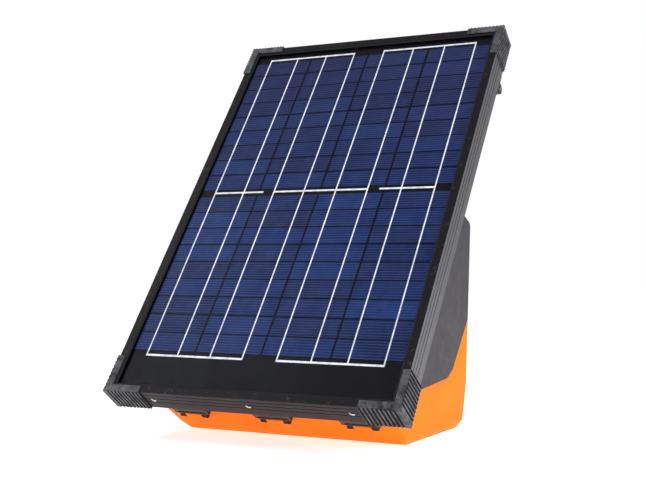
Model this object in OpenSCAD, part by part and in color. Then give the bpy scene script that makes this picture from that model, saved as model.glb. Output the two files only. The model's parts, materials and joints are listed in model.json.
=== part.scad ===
// Portable solar fence energizer: a tilted solar panel on a latched two-part housing.
// Row frame: +Z up, the front looks along -Y, origin at the middle of the flat underside.

/* [Solar panel] */
// Tilt of the panel from horizontal, degrees
panel_tilt = 53.6; // [50:0.2:57]
// Width of the aluminium frame
frame_w = 451; // [430:1:560]
// Length of the aluminium frame up the slope
frame_l = 691; // [660:1:840]
// Depth of the aluminium frame, front lip to back flange
frame_depth = 40; // [36:0.5:44]
// Wall of the frame extrusion
frame_wall = 2; // [1.6:0.1:2.4]
// Width of the front lip round the glass
frame_lip = 11; // [9:0.5:14]
// Width of the back flange
frame_flange = 20; // [18:0.5:24]
// Height of the panel's lower front edge above the ground
panel_z = 66; // [62:0.5:72]
// How far the panel's lower front edge lies in front of the origin
panel_reach = 247; // [240:0.5:252]
// Glass thickness
glass_t = 3.2; // [2.6:0.1:4]
// Cell length across the panel
cell_w = 104; // [96:0.5:105]
// Cell length up the panel
cell_h = 31.2; // [28:0.1:31.6]
// Cell pitch across the panel
cell_pitch_x = 106; // [105.5:0.1:107]
// Cell pitch up the panel
cell_pitch_y = 32; // [31.8:0.1:32.4]
// Cell rows in each half of the panel
cell_rows = 9; // [7:1:9]
// Gap between the two halves
half_gap = 12.3; // [8:0.1:20]

/* [Corner caps] */
// Leg length of a corner cap
cap_leg = 60; // [50:1:75]
// Width of a corner cap's front lip
cap_lip = 12; // [10:0.5:14]
// Thickness of a corner cap's side skin
cap_skin = 2.5; // [2:0.1:4]
// Thickness of a corner cap's front and back skin
cap_face = 2; // [1.5:0.1:3]
// Grip grooves on each leg
cap_grooves = 9; // [4:1:9]
// Distance between grip grooves
cap_groove_pitch = 6; // [5:0.1:6.2]

/* [Housing] */
// Width of the housing
body_w = 370; // [340:1:380]
// Length of the flat underside, front to back
foot_l = 198; // [190:1:206]
// How far each side flares out above the flat underside
flare_w = 11; // [8:0.5:16]
// Height at which the sides reach their full width
flare_z = 70; // [60:1:80]
// Height of the chamfer along the underside's long edges
side_chamfer = 11; // [8:0.5:14]
// Rake of the front face from horizontal, degrees
front_rake = 33; // [31:0.5:35]
// Length of the chamfer below the rear wall
rear_chamfer_run = 11; // [8:0.5:14]
// Height of the chamfer below the rear wall
rear_chamfer_rise = 15; // [12:0.5:18]
// Lean of the rear wall, degrees
rear_lean = 4; // [2:0.5:5]
// Height of the housing's rear edge
rear_h = 312; // [290:1:330]
// Fall of the housing's roof towards the rear, degrees
roof_fall = 23; // [18:0.5:26]
// Wall of both housing shells
wall = 3.5; // [3:0.1:4]
// Height of the seam where it leaves the rear wall
seam_rear_z = 165; // [158:1:172]
// Height of the seam in front of its step
seam_mid_z = 81; // [78:0.5:86]
// Place of the step, front to back
seam_mid_y = 33; // [28:0.5:38]
// Rise of the short ramp before the step
seam_ramp = 12.5; // [10:0.5:14]
// Length of the short ramp before the step
seam_ramp_run = 23; // [20:0.5:26]

/* [Latches] */
// Width of a latch
latch_w = 58; // [54:1:64]
// Distance from the outer latches to the housing's sides
latch_edge = 22; // [18:1:36]
// Distance of the latch pin up the front face
latch_pin_up = 60.5; // [56:0.5:64]
// Radius of a latch pin
latch_pin_r = 1.5; // [1.2:0.1:1.8]
// Thickness of a latch
latch_t = 5; // [4:0.5:5.5]

/* [Lid hinge] */
// Radius of the hinge knuckles
knuckle_r = 5.5; // [5:0.1:5.8]
// Radius of the hinge pins
hinge_pin_r = 2; // [1.5:0.1:2.5]
// Distance from a hinge to the nearer side of the housing
hinge_edge = 75; // [55:1:95]

/* [Battery] */
// Battery length
battery_l = 151; // [140:1:165]
// Battery width
battery_w = 98; // [90:1:99]
// Battery height without terminals
battery_h = 95; // [85:1:105]

/* [Electronics] */
// Circuit board width
board_w = 190; // [180:1:210]
// Circuit board height
board_h = 100; // [92:1:104]
// Radius of the output studs
stud_r = 3; // [2.5:0.1:3.5]
// Distance between the output studs
stud_pitch = 110; // [100:1:130]
// Radius of the power knob
knob_r = 16; // [14:0.5:18]
// Radius of an output terminal knob
terminal_knob_r = 12; // [10:0.5:13]

/* [Carry handle] */
// Distance from the handle's pivot to the panel's upper edge
handle_down = 91; // [88:1:116]
// Reach of the handle from pivot to grip
handle_reach = 45; // [42:1:60]
// Radius of the grip
grip_r = 6; // [5:0.1:6.3]

/* [Hidden] */

$fn = 48;

// Radial clearance of a shaft in its bore
run_gap = 0.05;
// Clearance between parts that move past each other
move_gap = 0.5;
// Clearance round a part that drops into a pocket
drop_gap = 0.4;
// How far a joined piece is sunk into the piece it grows from
sink = 0.5;
// How much deeper a screw's hole runs than its shank
hole_spare = 4;
// How far a cut runs past the face it opens
past = 1;
// Longer than any cut needs
far = 900;

// ---- plane geometry: points are [y, z] in the side view ----

function unit(v) = v / norm(v);
function turn(a) = [cos(a), sin(a)];
function side(a, b) = a[0] * b[1] - a[1] * b[0];

// Where the line from p at angle a meets the line from q at angle b
function meet(p, a, q, b) = p + turn(a) * side(q - p, turn(b)) / side(turn(a), turn(b));

// Shortest turn from one angle to another
function swing(from, to) = (to - from + 540) % 360 - 180;

// Arc of radius r that rounds corner b between a and c
function corner(a, b, c, r, n = 6) =
    r == 0 ? [b] :
    let (
        u = unit(a - b),
        v = unit(c - b),
        half = acos(u * v) / 2,
        middle = b + unit(u + v) * r / sin(half),
        first = b + u * r / tan(half) - middle,
        last = b + v * r / tan(half) - middle,
        start = atan2(first[1], first[0]),
        sweep = swing(start, atan2(last[1], last[0]))
    )
    [for (i = [0:n]) middle + r * turn(start + sweep * i / n)];

// Closed outline with each corner rounded to its own radius
function rounded(pts, radii) = [for (i = [0:len(pts) - 1])
    each corner(pts[(i + len(pts) - 1) % len(pts)], pts[i], pts[(i + 1) % len(pts)], radii[i])];

// Counter-clockwise outline moved inwards by d
function inset(pts, d) = [for (i = [0:len(pts) - 1])
    let (
        a = pts[(i + len(pts) - 1) % len(pts)],
        b = pts[i],
        c = pts[(i + 1) % len(pts)],
        ab = atan2(b[1] - a[1], b[0] - a[0]),
        bc = atan2(c[1] - b[1], c[0] - b[0])
    )
    meet(b + d * turn(ab + 90), ab, b + d * turn(bc + 90), bc)];

// Prism along X from an outline of [y, z] points
module prism(pts, length) {
    rotate([90, 0, 90])
        linear_extrude(length, center = true)
            polygon(pts);
}

// Prism along Y from an outline of [x, z] points
module across(pts, length) {
    rotate([90, 0, 0])
        linear_extrude(length, center = true)
            polygon(pts);
}

// Box from its low corner to its high corner
module block(low, high) {
    translate(low)
        cube(high - low);
}

// Cylinder along X between two places
module rod_x(x0, x1, r) {
    translate([x0, 0, 0])
        rotate([0, 90, 0])
            cylinder(r = r, h = x1 - x0);
}

// ---- panel: local X across, Y up the slope, Z out of the front ----

cap_w = frame_w + 2 * cap_skin;
cap_l = frame_l + 2 * cap_skin;
frame_front = cap_face;
frame_back = frame_front + frame_depth;
cap_depth = frame_back + cap_face;
flange_t = 2;
lip_t = 1.8;
shelf_w = 9;
shelf_t = 1.5;
seat_depth = frame_back - flange_t;

ribbon_t = 0.3;
cell_t = 0.4;
backsheet_t = 0.8;
glass_front = frame_front + lip_t;
ribbon_front = glass_front + glass_t;
cell_front = ribbon_front + ribbon_t;
sheet_front = cell_front + cell_t;
sheet_back = sheet_front + backsheet_t;
laminate_edge = cap_skin + frame_wall + 0.5;

module on_panel() {
    translate([0, -panel_reach, panel_z])
        rotate([panel_tilt, 0, 0])
            children();
}

// Box on the panel: across, up and depth behind the front
module slab(x0, x1, up0, up1, d0, d1) {
    block([x0, up0, -d1], [x1, up1, -d0]);
}

// [y, z] of a place on the panel's middle line
function panel_at(up, depth) = [
    up * cos(panel_tilt) + depth * sin(panel_tilt) - panel_reach,
    panel_z + up * sin(panel_tilt) - depth * cos(panel_tilt)];

// ---- housing outline ----

foot_w = body_w - 2 * flare_w;
front_foot = [-foot_l / 2, 0];
rear_foot = [foot_l / 2, 0];
rear_low = rear_foot + [rear_chamfer_run, rear_chamfer_rise];
function rear_at(z) = rear_low[0] + (z - rear_low[1]) * tan(rear_lean);
rear_top = [rear_at(rear_h), rear_h];
front_corner = meet(front_foot, 180 - front_rake, panel_at(0, seat_depth), panel_tilt);
roof_front = meet(rear_top, 180 - roof_fall, panel_at(0, seat_depth), panel_tilt);
front_l = norm(front_corner - front_foot);

body_outline = [front_foot, rear_foot, rear_low, rear_top, roof_front, front_corner];
body_radii = [6, 2, 8, 9, 0, 0];
body_top = rear_h + body_w;
width_outline = [
    [-foot_w / 2, 0], [foot_w / 2, 0],
    [foot_w / 2 + side_chamfer * 0.6, side_chamfer], [body_w / 2, flare_z],
    [body_w / 2, body_top], [-body_w / 2, body_top],
    [-body_w / 2, flare_z], [-foot_w / 2 - side_chamfer * 0.6, side_chamfer]];
width_radii = [2, 2, 6, 12, 0, 0, 12, 6];

// Housing shape shrunk by d on every side
module housing(d) {
    intersection() {
        prism(rounded(inset(body_outline, d), [for (r = body_radii) max(r - d, 0)]), far);
        across(rounded(inset(width_outline, d), [for (r = width_radii) max(r - d, 0)]), far);
    }
}

seam_mid = [seam_mid_y, seam_mid_z];
seam_kink = seam_mid + [seam_ramp_run, seam_ramp];
seam_end = [rear_at(seam_rear_z), seam_rear_z];
seam_radius = 22;
seam_line = [
    [-far, front_corner[1]], front_corner,
    each corner(front_corner, seam_mid, seam_kink, seam_radius),
    each corner(seam_mid, seam_kink, seam_end, seam_radius),
    seam_end, [far, seam_rear_z]];

// Everything at least d below the seam
module below_seam(d = 0) {
    prism([for (p = seam_line) p - [0, d], [far, -far], [-far, -far]], far);
}

// Everything above the seam
module above_seam() {
    prism([for (p = seam_line) p, [far, far], [-far, far]], far);
}

// Rear wall: local X across, local Z outwards, origin h up the wall
module on_rear(x = 0, h = 0) {
    translate([0, rear_low[0], rear_low[1]])
        rotate([-90 - rear_lean, 0, 0])
            translate([x, -h, 0])
                children();
}

// Front face: local Y up the face, local Z outwards
module on_front(up = 0, out = 0) {
    translate([0, front_foot[0], 0])
        rotate([180 - front_rake, 0, 0])
            translate([0, up, out])
                children();
}

// ---- lid hinge ----

hinge_x = body_w / 2 - hinge_edge;
hinge_gap = 1;
hinge_y = rear_at(seam_rear_z) + knuckle_r + hinge_gap;
knuckle_w = 12;
knuckle_gap = 0.4;

module at_hinge() {
    translate([0, hinge_y, seam_rear_z])
        children();
}

// One knuckle with its web to the wall; up = 1 on the lid and -1 on the base
module knuckle(x, w, up) {
    web_low = up > 0 ? 0 : -knuckle_r;
    at_hinge()
        translate([x, 0, 0]) {
            rod_x(-w / 2, w / 2, knuckle_r);
            block([-w / 2, -knuckle_r - hinge_gap, web_low], [w / 2, 0, web_low + knuckle_r]);
        }
    difference() {
        at_hinge()
            block([x - w / 2, -knuckle_r - hinge_gap - wall, web_low - sink],
                [x + w / 2, -knuckle_r - hinge_gap + sink, web_low + knuckle_r]);
        if (up > 0)
            below_seam();
        else
            above_seam();
    }
}

module hinge_bores() {
    for (s = [-1, 1])
        at_hinge()
            rod_x(s * hinge_x - 2 * knuckle_w, s * hinge_x + 2 * knuckle_w, hinge_pin_r + run_gap);
}

// ---- latches ----

latch_pitch = body_w / 2 - latch_edge - latch_w / 2;
latch_x = [-latch_pitch, 0, latch_pitch];
latch_out = 5;
latch_foot_r = 5;
latch_arm_in = 14.5;
latch_arm_w = 8;
latch_arm_gap = 1;
latch_bar_up = 6;
latch_rib_r = 1.2;
latch_rib_up = 4;
latch_rib_in = 6;
latch_heel = 0.4;
lug_w = 2 * (latch_arm_in - latch_arm_gap);
lug_below = 13;
lug_crown = 4.5;
lug_over = 3;
keeper_t = 2.2;
keeper_h = 8;
keeper_down = 2.3;
latch_top = front_l - latch_pin_up - keeper_t - 2 * move_gap;

// Catch plate on the lid above one latch
module keeper(x, grow = 0) {
    on_panel()
        translate([x, 0, 0])
            slab(-latch_w / 2 - grow, latch_w / 2 + grow, keeper_low - grow, keeper_low + keeper_h,
                seat_depth - grow, seat_depth + keeper_t + grow);
}
corner_up = (front_corner - panel_at(0, seat_depth)) * turn(panel_tilt);
keeper_low = corner_up - keeper_down;

// Lug on the base that carries one latch pin
module lug() {
    on_front(latch_pin_up)
        prism([[-lug_below, -sink], [-lug_crown, latch_out + lug_over],
            [lug_crown, latch_out + lug_over], [lug_crown, -sink]], lug_w);
}

// ---- base ----

battery_front = -76;
battery_gap = 0.5;
tray_h = 4.5;
tray_t = 2.5;
strap_w = 20;
strap_t = 1.5;
strap_foot = 14;
strap_side = 2;
strap_screw_in = 2.5;
screw_r = 2;
screw_head_r = 4;
screw_head_h = 2.4;

board_t = 1.6;
board_gap = 22;
board_up = 25;
board_boss_r = 4;
board_screw_r = 1.5;
board_screw_in = 10;
board_head_r = 2.8;
board_head_h = 2;
board_hole_in = 7;
board_face = -wall - board_gap;
board_back = board_face - board_t;

cover_wall = 2;
cover_side = 6;
cover_depth = 72;
cover_lug = 12;
cover_lug_t = 3;
cover_lug_in = 18;
cover_boss_l = 8;
cover_screw_in = 7;
cover_w = board_w + 2 * cover_side;
cover_low = board_up - cover_side;
cover_high = board_up + board_h + cover_side;
cover_lug_x = cover_w / 2 + cover_lug / 2;
cover_lug_h = [cover_low + cover_lug_in, cover_high - cover_lug_in];

// Heights of the output studs, the power knob and the lamps above the board's lower edge
stud_on_board = 35;
knob_on_board = 58;
lamp_on_board = 86;
stud_up = board_up + stud_on_board;
knob_up = board_up + knob_on_board;
lamp_up = board_up + lamp_on_board;
collar_r = 13;
collar_h = 6;
washer_t = 1.5;
washer_r = 8;
stud_in = 14;
stud_out = 12;
stud_nut_h = 5;
stud_nut_corners = 11.5;
knob_h = 16;
shaft_r = 3;
window_w = 40;
window_h = 8;
window_rim = 3;
window_t = 1.5;
lamp_r = 2.5;
lamp_pitch = 10;

// Places of the board's four screws
module at_board_holes() {
    for (x = [-1, 1] * (board_w / 2 - board_hole_in), h = [board_hole_in, board_h - board_hole_in])
        on_rear(x, board_up + h)
            children();
}

module at_cover_holes() {
    for (x = [-1, 1] * cover_lug_x, h = cover_lug_h)
        on_rear(x, h)
            children();
}

module at_studs() {
    for (x = [-1, 1] * stud_pitch / 2)
        on_rear(x, stud_up)
            children();
}

module battery_box(grow, z1) {
    block([-battery_l / 2 - grow, battery_front - grow, wall],
        [battery_l / 2 + grow, battery_front + battery_w + grow, z1]);
}

// Low wall round the battery, open where the strap passes
module battery_tray() {
    difference() {
        battery_box(battery_gap + tray_t, wall + tray_h);
        battery_box(battery_gap, far);
        block([-strap_w / 2 - strap_side, -far, 0], [strap_w / 2 + strap_side, far, far]);
    }
}

strap_screw_y = [battery_front - strap_t - strap_foot / 2 - drop_gap,
    battery_front + battery_w + strap_t + strap_foot / 2 + drop_gap];

module base_shell() {
    color("darkorange") difference() {
        union() {
            difference() {
                intersection() {
                    housing(0);
                    below_seam();
                }
                housing(wall);
            }
            translate([0, 0, -sink])
                battery_tray();
            at_board_holes()
                translate([0, 0, board_face])
                    cylinder(r = board_boss_r, h = board_gap + sink);
            at_cover_holes()
                translate([0, 0, -wall - cover_boss_l])
                    cylinder(r = board_boss_r, h = cover_boss_l + sink);
            at_studs()
                translate([0, 0, -sink])
                    cylinder(r = collar_r, h = collar_h + sink);
            for (x = latch_x)
                translate([x, 0, 0])
                    lug();
            for (s = [-1, 1], k = [-1, 1])
                knuckle(s * hinge_x + k * knuckle_w, knuckle_w - 2 * knuckle_gap, -1);
        }
        gasket_ring();
        hinge_bores();
        for (x = latch_x)
            keeper(x, move_gap);
        on_front(latch_pin_up, latch_out)
            rod_x(-far / 2, far / 2, latch_pin_r + run_gap);
        at_board_holes()
            translate([0, 0, board_face - sink])
                cylinder(r = board_screw_r + run_gap, h = board_screw_in + hole_spare);
        at_cover_holes()
            translate([0, 0, -wall - cover_boss_l - sink])
                cylinder(r = board_screw_r + run_gap, h = cover_screw_in + sink + 2 * drop_gap);
        at_studs()
            translate([0, 0, -2 * wall])
                cylinder(r = stud_r + run_gap, h = 2 * wall + 2 * collar_h);
        on_rear(0, knob_up)
            translate([0, 0, -2 * wall])
                cylinder(r = shaft_r + run_gap, h = 4 * wall);
        on_rear(0, lamp_up)
            translate([-window_w / 2, -window_h / 2, -2 * wall])
                cube([window_w, window_h, 4 * wall]);
        for (y = strap_screw_y)
            translate([0, y, wall - strap_screw_in])
                cylinder(r = screw_r + run_gap, h = far);
    }
}

gasket_in = 1;
gasket_w = 1.5;
gasket_h = 1.5;
gasket_front = 12;
gasket_rear = 2;

// Square cord that follows the seam inside the walls
module gasket_ring() {
    intersection() {
        difference() {
            housing(gasket_in);
            housing(gasket_in + gasket_w);
        }
        difference() {
            below_seam();
            below_seam(gasket_h);
        }
        block([-far, front_corner[0] + gasket_front, 0], [far, seam_end[0] - gasket_rear, far]);
    }
}

module lid_gasket() {
    color("black") gasket_ring();
}

// ---- lid ----

bar_up = [120, 340];
bar_h = 30;
bar_depth = 12;
bar_wall = 2;
bar_screw_x = frame_w / 2 - frame_flange / 2;
housing_screw_edge = 65;
housing_screw_x = body_w / 2 - housing_screw_edge;
mount_screw_r = 2.5;
mount_head_r = 4.5;
mount_head_h = 3;
mount_nut_h = 4;
mount_nut_corners = 9.2;
// Length of screw that grips the nut and shows past it
mount_grip = mount_nut_h + 1;
lead_x = 60;
lead_up = 185;
lead_r = 2.5;
grommet_r = 6;
grommet_flange = 1.5;

// Places where the housing is screwed to the mounting bars, local to the panel
module at_housing_screws() {
    on_panel()
        for (x = [-1, 1] * housing_screw_x, up = bar_up)
            translate([x, up, -seat_depth])
                children();
}

// Places where the mounting bars are screwed to the frame's flanges
module at_bar_screws() {
    on_panel()
        for (x = [-1, 1] * bar_screw_x, up = bar_up)
            translate([x, up, -seat_depth])
                children();
}

module lid_shell() {
    color("dimgray") difference() {
        union() {
            difference() {
                housing(0);
                housing(wall);
                below_seam();
            }
            for (x = latch_x)
                keeper(x);
            for (s = [-1, 1])
                knuckle(s * hinge_x, knuckle_w, 1);
        }
        hinge_bores();
        at_housing_screws()
            translate([0, 0, -2 * wall])
                cylinder(r = mount_screw_r + run_gap, h = 3 * wall);
        on_panel()
            translate([lead_x, lead_up, -seat_depth - 2 * wall])
                cylinder(r = grommet_r + run_gap, h = 3 * wall);
    }
}

module hinge_pins() {
    color("silver")
        for (s = [-1, 1])
            at_hinge()
                rod_x(s * hinge_x - 1.5 * knuckle_w, s * hinge_x + 1.5 * knuckle_w, hinge_pin_r);
}

// Clip with two arms round the base's lug and a wide bar under the lid's edge
module latch(x) {
    color("#1a1a1e")
        translate([x, 0, 0])
            on_front(latch_pin_up, latch_out)
                difference() {
                    union() {
                        for (s = [-1, 1])
                            translate([s * (latch_arm_in + latch_arm_w / 2), 0, 0]) {
                                rod_x(-latch_arm_w / 2, latch_arm_w / 2, latch_foot_r - latch_heel);
                                block([-latch_arm_w / 2, 0, -latch_t / 2],
                                    [latch_arm_w / 2, latch_bar_up + sink, latch_t / 2]);
                            }
                        block([-latch_w / 2, latch_bar_up, -latch_t / 2],
                            [latch_w / 2, latch_top, latch_t / 2]);
                        translate([0, latch_bar_up + latch_rib_up, latch_t / 2])
                            rod_x(latch_rib_in - latch_w / 2, latch_w / 2 - latch_rib_in, latch_rib_r);
                    }
                    rod_x(-latch_w, latch_w, latch_pin_r + run_gap);
                }
}

module latch_pins() {
    color("silver")
        for (x = latch_x)
            translate([x, 0, 0])
                on_front(latch_pin_up, latch_out)
                    rod_x(latch_arm_gap - latch_arm_in - latch_arm_w,
                        latch_arm_in + latch_arm_w - latch_arm_gap, latch_pin_r);
}

// ---- panel frame ----

groove_depths = [6.8, 15.2, 23.6];
groove_w = 1.2;
groove_in = 0.8;
drain_r = 4;
drain_pitch = 153;
drain_x = [-drain_pitch, 0, drain_pitch];
drain_depth = 21;

mitre = frame_flange + sink;

// Frame section: [inwards from the outer face, depth]
function frame_section() = [
    [0, frame_front], [frame_lip, frame_front], [frame_lip, glass_front],
    [frame_wall, glass_front], [frame_wall, sheet_back], [shelf_w, sheet_back],
    [shelf_w, sheet_back + shelf_t], [frame_wall, sheet_back + shelf_t],
    [frame_wall, seat_depth], [frame_flange, seat_depth], [frame_flange, frame_back],
    [0, frame_back],
    for (i = [len(groove_depths) - 1:-1:0])
        let (d = frame_front + groove_depths[i])
        each [[0, d + groove_w], [groove_in, d + groove_w], [groove_in, d], [0, d]]];

// One mitred rail of the given length, outer face on Y = 0, inwards along +Y
module rail(length) {
    intersection() {
        prism([for (p = frame_section()) [p[0], -p[1]]], length);
        linear_extrude(far, center = true)
            polygon([[-length / 2, 0], [length / 2, 0], [length / 2 - mitre, mitre],
                [mitre - length / 2, mitre]]);
    }
}

module frame_bottom() {
    color("#2c2c30") on_panel()
        difference() {
            translate([0, cap_skin, 0])
                rail(frame_w);
            for (x = drain_x)
                translate([x, cap_skin - past, -drain_depth])
                    rotate([-90, 0, 0])
                        cylinder(r = drain_r, h = frame_wall + 2 * past);
        }
}

module frame_top() {
    color("#2c2c30") on_panel()
        translate([0, cap_l - cap_skin, 0])
            rotate([0, 0, 180])
                rail(frame_w);
}

// Holes in a side rail's flange for the mounting bars and a handle bracket
module flange_holes(s) {
    for (up = bar_up)
        translate([s * bar_screw_x, up, -frame_back - past])
            cylinder(r = mount_screw_r + run_gap, h = flange_t + 2 * past);
    for (up = bracket_screw_up)
        translate([s * bracket_screw_x, up, -frame_back - past])
            cylinder(r = screw_r + run_gap, h = flange_t + 2 * past);
}

module side_rail(s) {
    color("#77777c") on_panel()
        difference() {
            translate([s * frame_w / 2, cap_l / 2, 0])
                rotate([0, 0, s * 90])
                    rail(frame_l);
            flange_holes(s);
        }
}

module frame_left() {
    side_rail(-1);
}

module frame_right() {
    side_rail(1);
}

key_l = 40;
key_t = 3;
key_gap = 1;

module corner_keys() {
    low = cap_skin + frame_wall;
    front = sheet_back + shelf_t + key_gap;
    color("silver") on_panel()
        for (s = [-1, 1], t = [0, 1])
            translate([s * cap_w / 2, t * cap_l, 0])
                mirror([s > 0 ? 1 : 0, 0, 0])
                    mirror([0, t, 0])
                        union() {
                            slab(low, low + key_l, low, low + key_t, front, seat_depth - key_gap);
                            slab(low, low + key_t, low, low + key_l, front, seat_depth - key_gap);
                        }
}

// ---- corner caps ----

cap_groove_w = 3;
cap_groove_in = 1;
cap_groove_end = 4;

// Cap for the corner at the local origin, growing along +X and +Y
module cap() {
    first = cap_leg - cap_groove_end - (cap_grooves - 1) * cap_groove_pitch;
    difference() {
        union() {
            slab(0, cap_leg, 0, cap_lip, 0, cap_depth);
            slab(0, cap_lip, 0, cap_leg, 0, cap_depth);
        }
        slab(cap_skin, far, cap_skin, far, frame_front, frame_back);
        for (i = [0:cap_grooves - 1])
            let (at = first + i * cap_groove_pitch) {
                slab(at, at + cap_groove_w, -past, cap_groove_in, -past, cap_depth + past);
                slab(-past, cap_groove_in, at, at + cap_groove_w, -past, cap_depth + past);
            }
    }
}

module place_cap(s, t) {
    color("#48484c") on_panel()
        translate([s * cap_w / 2, t * cap_l, 0])
            mirror([s > 0 ? 1 : 0, 0, 0])
                mirror([0, t, 0])
                    cap();
}

module cap_bottom_left() {
    place_cap(-1, 0);
}

module cap_bottom_right() {
    place_cap(1, 0);
}

module cap_top_left() {
    place_cap(-1, 1);
}

module cap_top_right() {
    place_cap(1, 1);
}

// ---- laminate ----

columns = 4;
cells_low = 74.8;
cells_half = cell_rows * cell_pitch_y;
ribbon_w = 2;
bus_w = 3;
ribbon_in = 26;
bus_out = 9;
ribbon_break = 19;

// Sheet of the laminate between two depths
module sheet(d0, d1) {
    on_panel()
        slab(-cap_w / 2 + laminate_edge, cap_w / 2 - laminate_edge, laminate_edge,
            cap_l - laminate_edge, d0, d1);
}

module panel_glass() {
    color("lightblue", 0.4) sheet(glass_front, ribbon_front);
}

module backsheet() {
    color("#141418") sheet(sheet_front, sheet_back);
}

function column_x(i) = (i - (columns - 1) / 2) * cell_pitch_x;
function half_low(half) = cells_low + half * (cells_half + half_gap);

module solar_cells() {
    color("#26386f") on_panel()
        for (i = [0:columns - 1], half = [0, 1], row = [0:cell_rows - 1])
            translate([column_x(i), half_low(half) + row * cell_pitch_y, 0])
                slab(-cell_w / 2, cell_w / 2, 0, cell_h, cell_front, sheet_front);
}

ribbon_low = cells_low - bus_out;
ribbon_high = half_low(1) + cells_half + bus_out - (cell_pitch_y - cell_h) - bus_w;
ribbon_mid = half_low(1) - half_gap / 2;
outer_ribbon = column_x(columns - 1) + ribbon_in;
inner_ribbon = column_x(2) + ribbon_in;
bus_break = inner_ribbon + ribbon_break;

// Cross ribbon centred on up between x0 and x1, lying beside the long ribbons
module bus(x0, x1, up) {
    slab(x0, x1, up - bus_w / 2, up + bus_w / 2, cell_front, sheet_front);
}

module cell_ribbons() {
    inner = column_x(2) - ribbon_in;
    color("gainsboro") on_panel() {
        for (i = [0:columns - 1], s = [-1, 1])
            translate([column_x(i) + s * ribbon_in, 0, 0])
                slab(-ribbon_w / 2, ribbon_w / 2, ribbon_low, ribbon_high + bus_w / 2,
                    ribbon_front, cell_front);
        for (s = [-1, 1], up = [ribbon_low + bus_w / 2, ribbon_high])
            bus(min(s * inner, s * outer_ribbon), max(s * inner, s * outer_ribbon), up);
        bus(-inner_ribbon, inner_ribbon, ribbon_mid);
        for (s = [-1, 1])
            bus(min(s * bus_break, s * outer_ribbon), max(s * bus_break, s * outer_ribbon), ribbon_mid);
    }
}

box_w = 90;
box_low = 205;
box_h = 70;
box_depth = 18;
box_lid_t = 2.5;
box_wall = 2;
box_lead_depth = sheet_back + box_depth / 2;

module junction_box() {
    color("#202024") on_panel()
        difference() {
            slab(lead_x - box_w / 2, lead_x + box_w / 2, box_low, box_low + box_h, sheet_back,
                sheet_back + box_depth);
            slab(lead_x - box_w / 2 + box_wall, lead_x + box_w / 2 - box_wall, box_low + box_wall,
                box_low + box_h - box_wall, sheet_back + box_wall, far);
            translate([lead_x, box_low - past, -box_lead_depth])
                rotate([-90, 0, 0])
                    cylinder(r = lead_r + 3 * drop_gap, h = box_wall + 2 * past);
        }
}

module junction_box_lid() {
    color("#2a2a2e") on_panel()
        slab(lead_x - box_w / 2, lead_x + box_w / 2, box_low, box_low + box_h,
            sheet_back + box_depth, sheet_back + box_depth + box_lid_t);
}

// Channel bars that tie the housing to the side flanges
module mounting_bars() {
    half = frame_w / 2 - frame_wall - drop_gap;
    color("silver") on_panel()
        for (up = bar_up)
            difference() {
                slab(-half, half, up - bar_h / 2, up + bar_h / 2, seat_depth - bar_depth, seat_depth);
                slab(-far, far, up - bar_h / 2 + bar_wall, up + bar_h / 2 - bar_wall, 0,
                    seat_depth - bar_wall);
                for (x = [-bar_screw_x, -housing_screw_x, housing_screw_x, bar_screw_x])
                    translate([x, up, -seat_depth - past])
                        cylinder(r = mount_screw_r + run_gap, h = bar_wall + 2 * past);
            }
}

// Pan-head screw with its head under the local XY plane and its shank up
module screw(r, head_r, head_h, length) {
    translate([0, 0, -head_h])
        cylinder(r = head_r, h = head_h);
    translate([0, 0, -sink])
        cylinder(r = r, h = length + sink);
}

module bar_screws() {
    color("silver")
        at_bar_screws()
            translate([0, 0, -flange_t])
                screw(mount_screw_r, mount_head_r, mount_head_h, flange_t + bar_wall + mount_grip);
}

module housing_screws() {
    color("silver")
        at_housing_screws()
            translate([0, 0, -wall])
                screw(mount_screw_r, mount_head_r, mount_head_h, wall + bar_wall + mount_grip);
}

module nut(across_corners, h, bore) {
    difference() {
        cylinder(d = across_corners, h = h, $fn = 6);
        translate([0, 0, -past])
            cylinder(r = bore, h = h + 2 * past);
    }
}

module bar_nuts() {
    color("silver") {
        at_bar_screws()
            translate([0, 0, bar_wall])
                nut(mount_nut_corners, mount_nut_h, mount_screw_r + run_gap);
        at_housing_screws()
            translate([0, 0, bar_wall])
                nut(mount_nut_corners, mount_nut_h, mount_screw_r + run_gap);
    }
}

// ---- leads ----

// Point at t of 0 to 1 on the smooth curve from b to c
function blend(a, b, c, d, t) =
    (2 * b + (c - a) * t + (2 * a - 5 * b + 4 * c - d) * t * t
        + (3 * b - a - 3 * c + d) * t * t * t) / 2;

// Smooth route through hand-placed points with n steps between each pair
function route(pts, n) = [
    for (i = [0:len(pts) - 2], k = [0:n - 1])
        blend(pts[max(i - 1, 0)], pts[i], pts[i + 1], pts[min(i + 2, len(pts) - 1)], k / n),
    pts[len(pts) - 1]];

function along(p, i) = unit(p[min(i + 1, len(p) - 1)] - p[max(i - 1, 0)]);

// Ring of points round the route at step i
function ring(p, i, r, sides) =
    let (
        t = along(p, i),
        a = unit(cross(t, abs(t[0]) < 0.9 ? [1, 0, 0] : [0, 0, 1])),
        b = cross(t, a)
    )
    [for (k = [0:sides - 1]) p[i] + r * (a * cos(360 * k / sides) + b * sin(360 * k / sides))];

// Closed tube along a route
module lead(p, r, sides = 8) {
    rings = len(p);
    last = (rings - 1) * sides;
    polyhedron(
        points = [for (i = [0:rings - 1]) each ring(p, i, r, sides)],
        faces = [
            [for (k = [0:sides - 1]) k],
            [for (k = [sides - 1:-1:0]) last + k],
            for (i = [0:rings - 2], k = [0:sides - 1])
                let (a = i * sides + k, b = i * sides + (k + 1) % sides)
                each [[b, a, a + sides], [b, a + sides, b + sides]]]);
}

// Place on the arc that the lid's parts follow round the hinge
plug_arm = 73;
plug_turn = 10;
plug_in = 6;
plug_size = [14.6, 8.6];
plug_gap = 0.7;
plug_head = 10;
plug_lip = 2;
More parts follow.
